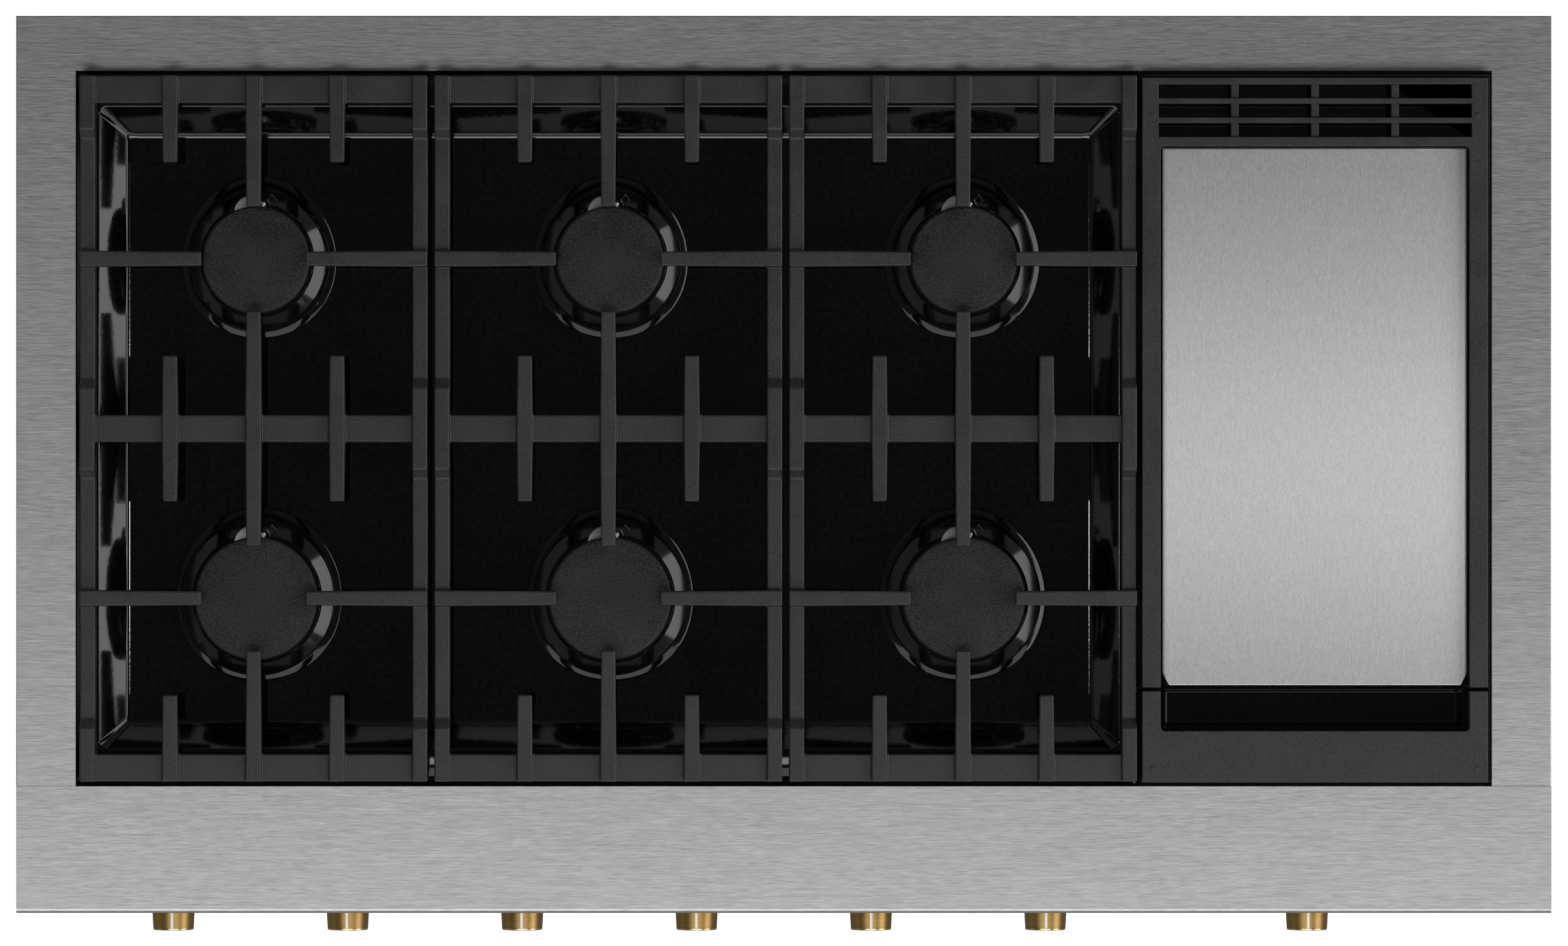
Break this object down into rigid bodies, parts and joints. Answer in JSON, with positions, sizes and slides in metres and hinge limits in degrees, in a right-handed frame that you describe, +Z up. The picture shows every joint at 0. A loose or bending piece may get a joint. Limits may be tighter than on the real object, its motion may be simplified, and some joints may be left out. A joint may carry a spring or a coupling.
{
  "type": "gas rangetop",
  "caption": "Built-in gas rangetop: sealed burners under cast iron grates, a steel griddle with a grease trough, and a row of push-and-turn knobs in front.",
  "frame": {"origin": "middle of the footprint, knobs included, to within 3 mm, at the level of the base", "axes": "+X to the right of the person who cooks, +Y to the rear, +Z up; the knobs face -Y"},
  "size_m": [1.216, 0.729, 0.219],
  "materials": {
    "brushed_stainless": "brushed stainless sheet, grain along the width",
    "galvanised_steel": "galvanised sheet, faint spangle",
    "cast_iron": "sand-cast iron under matt black porcelain enamel",
    "cap_enamel": "cast cap under matt black enamel with an orange-peel surface",
    "burner_enamel": "gloss black porcelain enamel on cast aluminium",
    "black_enamel": "gloss black porcelain enamel on pressed steel",
    "cast_aluminium": "die-cast aluminium, satin",
    "griddle_steel": "ground steel plate, grain front to back",
    "brass": "turned brass with a fine satin finish",
    "plain_steel": "plain drawn steel",
    "black_plastic": "moulded plastic"
  },
  "bodies": {
    "chassis": {"base_pan": "galvanised_steel", "side_panel_left": "brushed_stainless", "side_panel_right": "brushed_stainless", "rear_panel": "galvanised_steel", "control_panel": "brushed_stainless", "front_ledge": "brushed_stainless", "top_trim": "brushed_stainless", "spill_tray": "black_enamel", "burner_cup_rear_left": "cast_aluminium", "burner_cup_front_left": "cast_aluminium", "burner_cup_rear_middle": "cast_aluminium", "burner_cup_front_middle": "cast_aluminium", "burner_cup_rear_right": "cast_aluminium", "burner_cup_front_right": "cast_aluminium", "burner_head_rear_left": "burner_enamel", "burner_head_front_left": "burner_enamel", "burner_head_rear_middle": "burner_enamel", "burner_head_front_middle": "burner_enamel", "burner_head_rear_right": "burner_enamel", "burner_head_front_right": "burner_enamel", "griddle_box": "black_enamel", "griddle_burner": "plain_steel", "griddle_frame": "cast_iron", "griddle_front_trim": "cast_iron", "gas_valve_1": "cast_aluminium", "gas_valve_2": "cast_aluminium", "gas_valve_3": "cast_aluminium", "gas_valve_4": "cast_aluminium", "gas_valve_5": "cast_aluminium", "gas_valve_6": "cast_aluminium", "gas_valve_7": "cast_aluminium", "gas_manifold": "plain_steel", "pressure_regulator": "cast_aluminium", "ignition_module": "black_plastic", "power_inlet": "black_plastic"},
    "grate_left": {"grate_left": "cast_iron"},
    "grate_middle": {"grate_middle": "cast_iron"},
    "grate_right": {"grate_right": "cast_iron"},
    "burner_cap_rear_left": {"burner_cap_rear_left": "cap_enamel"},
    "burner_cap_front_left": {"burner_cap_front_left": "cap_enamel"},
    "burner_cap_rear_middle": {"burner_cap_rear_middle": "cap_enamel"},
    "burner_cap_front_middle": {"burner_cap_front_middle": "cap_enamel"},
    "burner_cap_rear_right": {"burner_cap_rear_right": "cap_enamel"},
    "burner_cap_front_right": {"burner_cap_front_right": "cap_enamel"},
    "griddle_plate": {"griddle_plate": "griddle_steel"},
    "grease_tray": {"grease_tray": "black_enamel"},
    "valve_stem_1": {"valve_stem_1": "plain_steel"},
    "knob_1": {"knob_1": "brass"},
    "valve_stem_2": {"valve_stem_2": "plain_steel"},
    "knob_2": {"knob_2": "brass"},
    "valve_stem_3": {"valve_stem_3": "plain_steel"},
    "knob_3": {"knob_3": "brass"},
    "valve_stem_4": {"valve_stem_4": "plain_steel"},
    "knob_4": {"knob_4": "brass"},
    "valve_stem_5": {"valve_stem_5": "plain_steel"},
    "knob_5": {"knob_5": "brass"},
    "valve_stem_6": {"valve_stem_6": "plain_steel"},
    "knob_6": {"knob_6": "brass"},
    "valve_stem_7": {"valve_stem_7": "plain_steel"},
    "knob_7": {"knob_7": "brass"}
  },
  "joints": [
    {"name": "grate_left_lift", "type": "slide", "parent": "chassis", "child": "grate_left", "axis": [0, 0, 1], "range_m": [0, 0.08]},
    {"name": "grate_middle_lift", "type": "slide", "parent": "chassis", "child": "grate_middle", "axis": [0, 0, 1], "range_m": [0, 0.08]},
    {"name": "grate_right_lift", "type": "slide", "parent": "chassis", "child": "grate_right", "axis": [0, 0, 1], "range_m": [0, 0.08]},
    {"name": "burner_cap_rear_left_lift", "type": "slide", "parent": "chassis", "child": "burner_cap_rear_left", "axis": [0, 0, 1], "range_m": [0, 0.005]},
    {"name": "burner_cap_front_left_lift", "type": "slide", "parent": "chassis", "child": "burner_cap_front_left", "axis": [0, 0, 1], "range_m": [0, 0.005]},
    {"name": "burner_cap_rear_middle_lift", "type": "slide", "parent": "chassis", "child": "burner_cap_rear_middle", "axis": [0, 0, 1], "range_m": [0, 0.005]},
    {"name": "burner_cap_front_middle_lift", "type": "slide", "parent": "chassis", "child": "burner_cap_front_middle", "axis": [0, 0, 1], "range_m": [0, 0.005]},
    {"name": "burner_cap_rear_right_lift", "type": "slide", "parent": "chassis", "child": "burner_cap_rear_right", "axis": [0, 0, 1], "range_m": [0, 0.005]},
    {"name": "burner_cap_front_right_lift", "type": "slide", "parent": "chassis", "child": "burner_cap_front_right", "axis": [0, 0, 1], "range_m": [0, 0.005]},
    {"name": "griddle_plate_lift", "type": "slide", "parent": "chassis", "child": "griddle_plate", "axis": [0, 0, 1], "range_m": [0, 0.06]},
    {"name": "grease_tray_lift", "type": "slide", "parent": "chassis", "child": "grease_tray", "axis": [0, 0, 1], "range_m": [0, 0.06]},
    {"name": "knob_1_turn", "type": "hinge", "parent": "chassis", "child": "valve_stem_1", "pos_m": [-0.49, -0.33, 0.112], "axis": [0, -1, 0], "range_deg": [0, 230]},
    {"name": "knob_1_push", "type": "slide", "parent": "valve_stem_1", "child": "knob_1", "axis": [0, 1, 0], "range_m": [0, 0.004], "stiffness_N_per_m": 1500, "springref_m": -0.002},
    {"name": "knob_2_turn", "type": "hinge", "parent": "chassis", "child": "valve_stem_2", "pos_m": [-0.35, -0.33, 0.112], "axis": [0, -1, 0], "range_deg": [0, 230]},
    {"name": "knob_2_push", "type": "slide", "parent": "valve_stem_2", "child": "knob_2", "axis": [0, 1, 0], "range_m": [0, 0.004], "stiffness_N_per_m": 1500, "springref_m": -0.002},
    {"name": "knob_3_turn", "type": "hinge", "parent": "chassis", "child": "valve_stem_3", "pos_m": [-0.21, -0.33, 0.112], "axis": [0, -1, 0], "range_deg": [0, 230]},
    {"name": "knob_3_push", "type": "slide", "parent": "valve_stem_3", "child": "knob_3", "axis": [0, 1, 0], "range_m": [0, 0.004], "stiffness_N_per_m": 1500, "springref_m": -0.002},
    {"name": "knob_4_turn", "type": "hinge", "parent": "chassis", "child": "valve_stem_4", "pos_m": [-0.07, -0.33, 0.112], "axis": [0, -1, 0], "range_deg": [0, 230]},
    {"name": "knob_4_push", "type": "slide", "parent": "valve_stem_4", "child": "knob_4", "axis": [0, 1, 0], "range_m": [0, 0.004], "stiffness_N_per_m": 1500, "springref_m": -0.002},
    {"name": "knob_5_turn", "type": "hinge", "parent": "chassis", "child": "valve_stem_5", "pos_m": [0.07, -0.33, 0.112], "axis": [0, -1, 0], "range_deg": [0, 230]},
    {"name": "knob_5_push", "type": "slide", "parent": "valve_stem_5", "child": "knob_5", "axis": [0, 1, 0], "range_m": [0, 0.004], "stiffness_N_per_m": 1500, "springref_m": -0.002},
    {"name": "knob_6_turn", "type": "hinge", "parent": "chassis", "child": "valve_stem_6", "pos_m": [0.21, -0.33, 0.112], "axis": [0, -1, 0], "range_deg": [0, 230]},
    {"name": "knob_6_push", "type": "slide", "parent": "valve_stem_6", "child": "knob_6", "axis": [0, 1, 0], "range_m": [0, 0.004], "stiffness_N_per_m": 1500, "springref_m": -0.002},
    {"name": "knob_7_turn", "type": "hinge", "parent": "chassis", "child": "valve_stem_7", "pos_m": [0.42, -0.33, 0.112], "axis": [0, -1, 0], "range_deg": [0, 270]},
    {"name": "knob_7_push", "type": "slide", "parent": "valve_stem_7", "child": "knob_7", "axis": [0, 1, 0], "range_m": [0, 0.004], "stiffness_N_per_m": 1500, "springref_m": -0.002}
  ]
}
